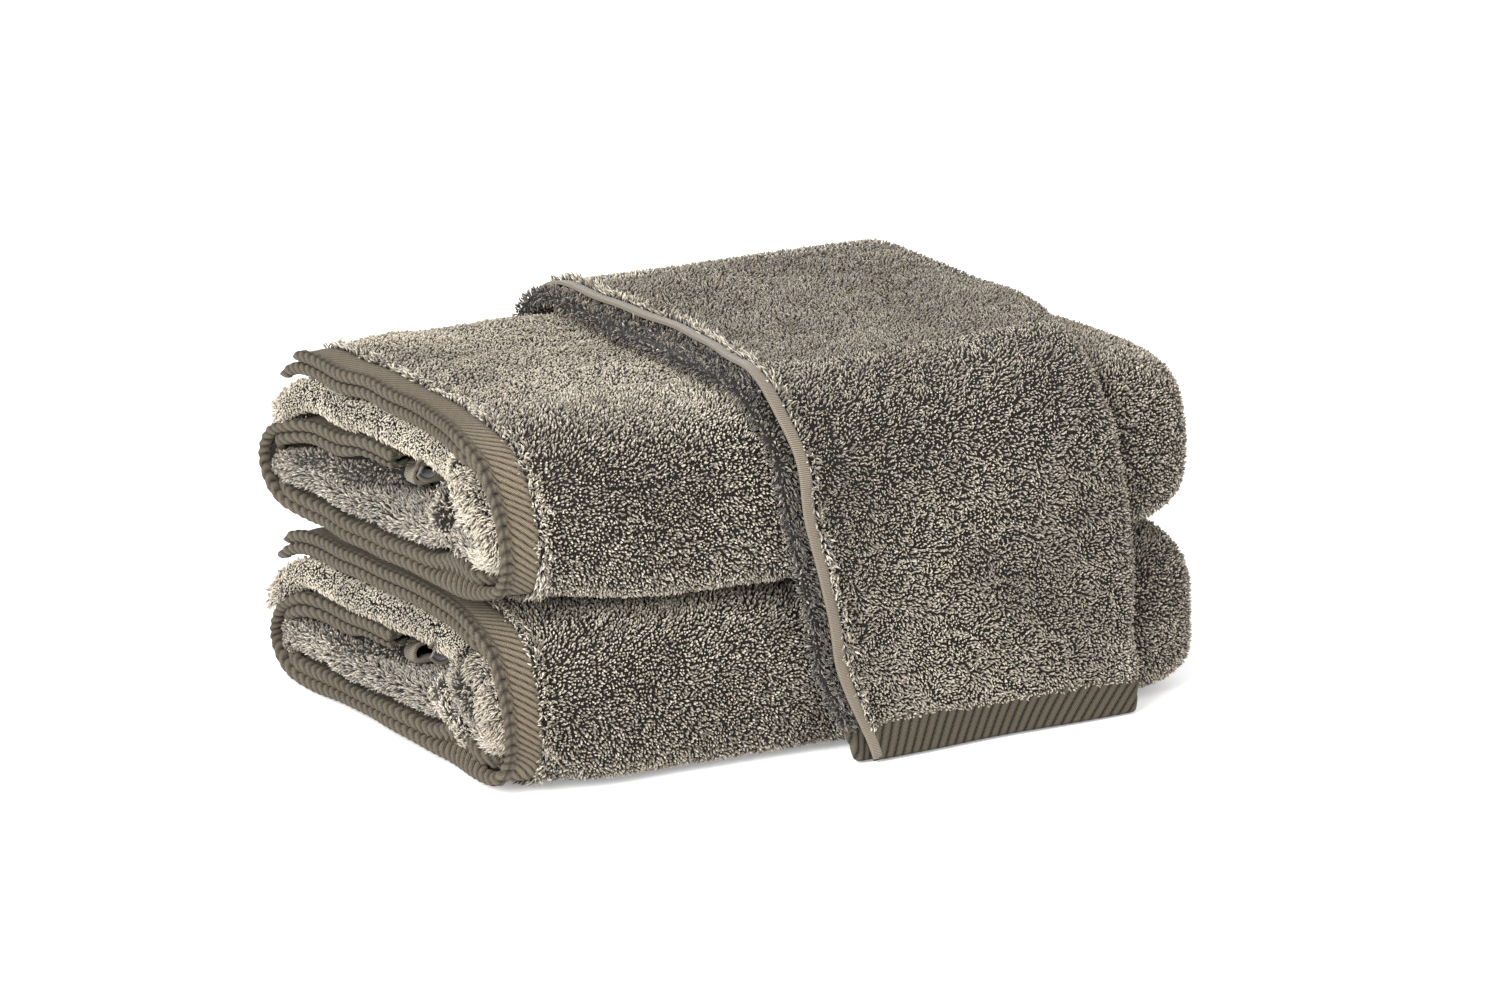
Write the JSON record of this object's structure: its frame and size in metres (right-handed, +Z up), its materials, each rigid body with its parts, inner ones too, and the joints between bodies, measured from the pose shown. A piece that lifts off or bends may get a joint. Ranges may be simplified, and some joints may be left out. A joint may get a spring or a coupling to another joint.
{
  "type": "bath towel set",
  "caption": "Two folded terry bath towels stacked, with a hand towel draped over the stack and hanging down front and back.",
  "frame": {"origin": "centre of the footprint, on the surface the stack stands on", "axes": "+X along the stack from its hemmed end to its folded end, +Y from the front to the back, +Z up"},
  "size_m": [0.408, 0.2972, 0.191],
  "materials": {
    "terry_cotton": "looped cotton pile, matt",
    "twill_border": "flat-woven ribbed twill, matt",
    "side_hem": "turned and stitched flat weave, matt"
  },
  "bodies": {
    "lower_bath_towel": {"lower_terry_body": "terry_cotton", "lower_end_hem_outer": "twill_border", "lower_end_hem_inner": "twill_border", "lower_end_fold": "terry_cotton", "lower_tucked_terry": "terry_cotton", "lower_rolled_side_hem": "side_hem", "lower_free_side_hem": "side_hem"},
    "upper_bath_towel": {"upper_terry_body": "terry_cotton", "upper_end_hem_outer": "twill_border", "upper_end_hem_inner": "twill_border", "upper_end_fold": "terry_cotton", "upper_tucked_terry": "terry_cotton", "upper_rolled_side_hem": "side_hem", "upper_free_side_hem": "side_hem"},
    "hand_towel": {"hand_under_fold": "terry_cotton", "hand_top_layer": "terry_cotton", "hand_side_hem": "side_hem", "hand_front_border": "twill_border", "hand_front_border_under": "twill_border", "hand_back_border": "twill_border", "hand_back_border_under": "twill_border"}
  },
  "joints": [
    {"name": "upper_towel_lift", "type": "slide", "parent": "lower_bath_towel", "child": "upper_bath_towel", "axis": [0, 0, 1], "range_m": [0, 0.15]},
    {"name": "hand_towel_lift", "type": "slide", "parent": "upper_bath_towel", "child": "hand_towel", "axis": [0, 0, 1], "range_m": [0, 0.22]}
  ]
}
